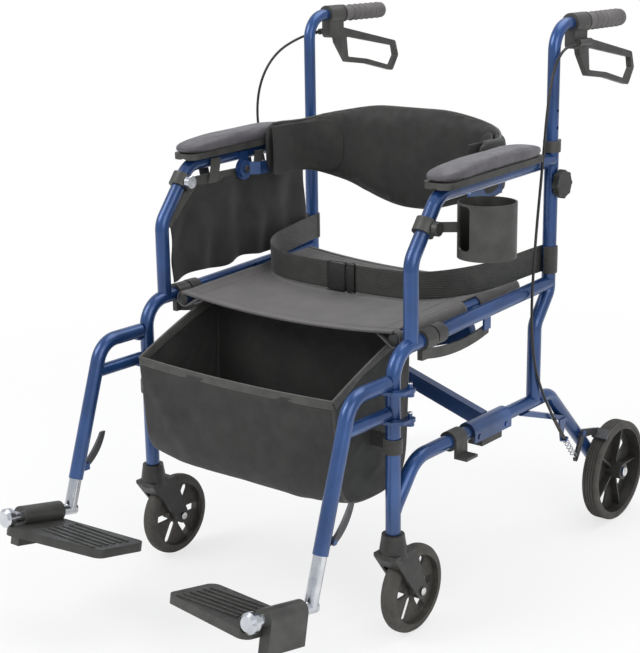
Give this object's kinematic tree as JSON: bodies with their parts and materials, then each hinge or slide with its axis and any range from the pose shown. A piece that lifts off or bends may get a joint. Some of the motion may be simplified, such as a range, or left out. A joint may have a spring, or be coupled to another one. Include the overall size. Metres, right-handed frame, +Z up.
{
  "type": "rollator transport chair",
  "caption": "Side-folding rollator transport chair with flip-over back, swing-away leg rests, hand brakes, under-seat bag and swivelling front casters.",
  "frame": {"origin": "on the floor, midway between the side frames and midway between the caster stems and the rear axles", "axes": "+Z up, -Y forward towards the footplates, +X the seated person's left"},
  "size_m": [0.7538, 1.1709, 1.0015],
  "materials": {
    "frame_blue": "gloss blue paint",
    "bright_tube": "bright",
    "grip_rubber": "ribbed, matt",
    "black_plastic": "black, satin",
    "cable_sheath": "black",
    "pad_vinyl": "dark grey upholstery",
    "tyre_grey": "dark grey",
    "wheel_grey": "dark grey",
    "dark_steel": "black",
    "spring_steel": "plated",
    "seat_cloth": "coated, dark grey",
    "bag_cloth": "woven black",
    "webbing": "woven black"
  },
  "bodies": {
    "left_frame": {"left_side_frame": "frame_blue", "left_collar": "black_plastic", "left_armrest_pad": "pad_vinyl", "left_armrest_base": "black_plastic", "left_seat_cradle": "black_plastic", "storage_bag": "bag_cloth", "seat_belt": "webbing", "belt_buckle": "black_plastic", "cup_clamp": "black_plastic", "cup_holder": "black_plastic", "storage_clip": "black_plastic", "left_brake_cable": "cable_sheath", "left_brake_spring": "spring_steel"},
    "brace_a": {"brace_arm_a": "frame_blue", "left_bearing_block": "black_plastic", "seat_sling": "seat_cloth"},
    "brace_b": {"brace_arm_b": "frame_blue", "right_bearing_block": "black_plastic"},
    "right_frame": {"right_side_frame": "frame_blue", "right_collar": "black_plastic", "right_armrest_pad": "pad_vinyl", "right_armrest_base": "black_plastic", "right_seat_cradle": "black_plastic", "side_pouch": "bag_cloth", "arm_clamp": "black_plastic", "right_brake_cable": "cable_sheath", "right_brake_spring": "spring_steel"},
    "backrest": {"left_backrest_arm": "frame_blue", "backrest_pad": "bag_cloth"},
    "right_back_arm": {"right_backrest_arm": "frame_blue"},
    "cup_knob": {"cup_knob": "black_plastic"},
    "arm_clamp_knob": {"arm_clamp_knob": "bright_tube"},
    "left_handle": {"left_handle_post": "frame_blue", "left_hand_grip": "grip_rubber", "left_brake_housing": "black_plastic"},
    "left_brake_lever": {"left_brake_lever": "black_plastic"},
    "left_brake_arm": {"left_brake_arm": "dark_steel"},
    "left_height_knob": {"left_height_knob": "black_plastic"},
    "left_fork": {"left_caster_fork": "black_plastic"},
    "left_caster_wheel": {"left_caster_wheel": "tyre_grey"},
    "left_rear_wheel": {"left_rear_wheel": "wheel_grey", "left_rear_tyre": "tyre_grey"},
    "left_leg_hanger": {"left_leg_hanger": "frame_blue"},
    "left_release_lever": {"left_release_lever": "dark_steel"},
    "left_leg_tube": {"left_leg_tube": "bright_tube"},
    "left_footplate": {"left_footplate": "black_plastic"},
    "right_handle": {"right_handle_post": "frame_blue", "right_hand_grip": "grip_rubber", "right_brake_housing": "black_plastic"},
    "right_brake_lever": {"right_brake_lever": "black_plastic"},
    "right_brake_arm": {"right_brake_arm": "dark_steel"},
    "right_height_knob": {"right_height_knob": "black_plastic"},
    "right_fork": {"right_caster_fork": "black_plastic"},
    "right_caster_wheel": {"right_caster_wheel": "tyre_grey"},
    "right_rear_wheel": {"right_rear_wheel": "wheel_grey", "right_rear_tyre": "tyre_grey"},
    "right_leg_hanger": {"right_leg_hanger": "frame_blue"},
    "right_release_lever": {"right_release_lever": "dark_steel"},
    "right_leg_tube": {"right_leg_tube": "bright_tube"},
    "right_footplate": {"right_footplate": "black_plastic"}
  },
  "joints": [
    {"name": "fold", "type": "hinge", "parent": "left_frame", "child": "brace_a", "pos_m": [0.2765, -0.076, 0.307], "axis": [0, 1, 0], "range_deg": [0, 21], "deforming": ["seat_sling", "storage_bag", "backrest_pad", "seat_belt", "belt_buckle", "side_pouch"]},
    {"name": "brace_cross", "type": "hinge", "parent": "brace_a", "child": "brace_b", "pos_m": [0, -0.076, 0.39459], "axis": [0, 1, 0], "range_deg": [-42, 0]},
    {"name": "right_rail", "type": "hinge", "parent": "brace_b", "child": "right_frame", "pos_m": [-0.2765, -0.076, 0.307], "axis": [0, 1, 0], "range_deg": [0, 21]},
    {"name": "backrest_flip", "type": "hinge", "parent": "left_frame", "child": "backrest", "pos_m": [0.256, -0.092, 0.713], "axis": [1, 0, 0], "range_deg": [0, 166]},
    {"name": "right_back_arm_flip", "type": "hinge", "parent": "right_frame", "child": "right_back_arm", "pos_m": [-0.256, -0.092, 0.713], "axis": [1, 0, 0], "range_deg": [0, 166]},
    {"name": "cup_knob_turn", "type": "hinge", "parent": "left_frame", "child": "cup_knob", "pos_m": [0.3, -0.26386, 0.69], "axis": [1, 0, 0], "continuous": true},
    {"name": "arm_clamp_knob_turn", "type": "hinge", "parent": "right_frame", "child": "arm_clamp_knob", "pos_m": [-0.25, -0.2486, 0.71], "axis": [1, 0, 0], "continuous": true},
    {"name": "left_handle_height", "type": "slide", "parent": "left_frame", "child": "left_handle", "axis": [0, 0, 1], "range_m": [-0.09, 0], "deforming": ["left_brake_cable"]},
    {"name": "left_brake_lever_pull", "type": "hinge", "parent": "left_handle", "child": "left_brake_lever", "pos_m": [0.2765, 0.212, 0.948], "axis": [1, 0, 0], "range_deg": [0, 10], "stiffness_Nm_per_rad": 1, "springref_deg": -34.38},
    {"name": "left_brake_arm_turn", "type": "hinge", "parent": "left_frame", "child": "left_brake_arm", "pos_m": [0.293, 0.247, 0.20228], "axis": [-1, 0, 0], "range_deg": [0, 2.6], "deforming": ["left_brake_spring", "left_brake_cable"]},
    {"name": "left_height_knob_turn", "type": "hinge", "parent": "left_frame", "child": "left_height_knob", "pos_m": [0.3, 0.1305, 0.706], "axis": [1, 0, 0], "continuous": true},
    {"name": "left_caster_swivel", "type": "hinge", "parent": "left_frame", "child": "left_fork", "pos_m": [0.2765, -0.3515, 0.2], "axis": [0, 0, 1], "continuous": true},
    {"name": "left_caster_roll", "type": "hinge", "parent": "left_fork", "child": "left_caster_wheel", "pos_m": [0.2765, -0.2995, 0.077], "axis": [1, 0, 0], "continuous": true},
    {"name": "left_rear_roll", "type": "hinge", "parent": "left_frame", "child": "left_rear_wheel", "pos_m": [0.3072, 0.3515, 0.1], "axis": [1, 0, 0], "continuous": true},
    {"name": "left_leg_rest_swing", "type": "hinge", "parent": "left_frame", "child": "left_leg_hanger", "pos_m": [0.3015, -0.3395, 0.42], "axis": [0, 0, 1], "range_deg": [0, 100]},
    {"name": "left_release_pull", "type": "hinge", "parent": "left_leg_hanger", "child": "left_release_lever", "pos_m": [0.281, -0.5156, 0.236], "axis": [-1, 0, 0], "range_deg": [0, 25], "stiffness_Nm_per_rad": 0.1, "springref_deg": -34.38},
    {"name": "left_leg_length", "type": "slide", "parent": "left_leg_hanger", "child": "left_leg_tube", "axis": [0, 0.3196, 0.9475], "range_m": [-0.022, 0.044]},
    {"name": "left_footplate_flip", "type": "hinge", "parent": "left_leg_tube", "child": "left_footplate", "pos_m": [0.2765, -0.56863, 0.144], "axis": [0, 0.9799, -0.1994], "range_deg": [0, 88]},
    {"name": "right_handle_height", "type": "slide", "parent": "right_frame", "child": "right_handle", "axis": [0, 0, 1], "range_m": [-0.09, 0], "deforming": ["right_brake_cable"]},
    {"name": "right_brake_lever_pull", "type": "hinge", "parent": "right_handle", "child": "right_brake_lever", "pos_m": [-0.2765, 0.212, 0.948], "axis": [1, 0, 0], "range_deg": [0, 10], "stiffness_Nm_per_rad": 1, "springref_deg": -34.38},
    {"name": "right_brake_arm_turn", "type": "hinge", "parent": "right_frame", "child": "right_brake_arm", "pos_m": [-0.293, 0.247, 0.20228], "axis": [-1, 0, 0], "range_deg": [0, 2.6], "deforming": ["right_brake_spring", "right_brake_cable"]},
    {"name": "right_height_knob_turn", "type": "hinge", "parent": "right_frame", "child": "right_height_knob", "pos_m": [-0.3, 0.1305, 0.706], "axis": [-1, 0, 0], "continuous": true},
    {"name": "right_caster_swivel", "type": "hinge", "parent": "right_frame", "child": "right_fork", "pos_m": [-0.2765, -0.3515, 0.2], "axis": [0, 0, 1], "continuous": true},
    {"name": "right_caster_roll", "type": "hinge", "parent": "right_fork", "child": "right_caster_wheel", "pos_m": [-0.2765, -0.2995, 0.077], "axis": [1, 0, 0], "continuous": true},
    {"name": "right_rear_roll", "type": "hinge", "parent": "right_frame", "child": "right_rear_wheel", "pos_m": [-0.3072, 0.3515, 0.1], "axis": [1, 0, 0], "continuous": true},
    {"name": "right_leg_rest_swing", "type": "hinge", "parent": "right_frame", "child": "right_leg_hanger", "pos_m": [-0.3015, -0.3395, 0.42], "axis": [0, 0, -1], "range_deg": [0, 100]},
    {"name": "right_release_pull", "type": "hinge", "parent": "right_leg_hanger", "child": "right_release_lever", "pos_m": [-0.281, -0.5156, 0.236], "axis": [-1, 0, 0], "range_deg": [0, 25], "stiffness_Nm_per_rad": 0.1, "springref_deg": -34.38},
    {"name": "right_leg_length", "type": "slide", "parent": "right_leg_hanger", "child": "right_leg_tube", "axis": [0, 0.3196, 0.9475], "range_m": [-0.044, 0.022]},
    {"name": "right_footplate_flip", "type": "hinge", "parent": "right_leg_tube", "child": "right_footplate", "pos_m": [-0.2765, -0.55986, 0.17], "axis": [0, -0.9799, 0.1994], "range_deg": [0, 88]}
  ],
  "couplings": [
    {"joint": "brace_cross", "follows": "fold", "ratio": -2},
    {"joint": "right_rail", "follows": "fold", "ratio": 1},
    {"joint": "right_back_arm_flip", "follows": "backrest_flip", "ratio": 1},
    {"joint": "left_brake_arm_turn", "follows": "left_brake_lever_pull", "ratio": 0.26},
    {"joint": "right_brake_arm_turn", "follows": "right_brake_lever_pull", "ratio": 0.26}
  ]
}
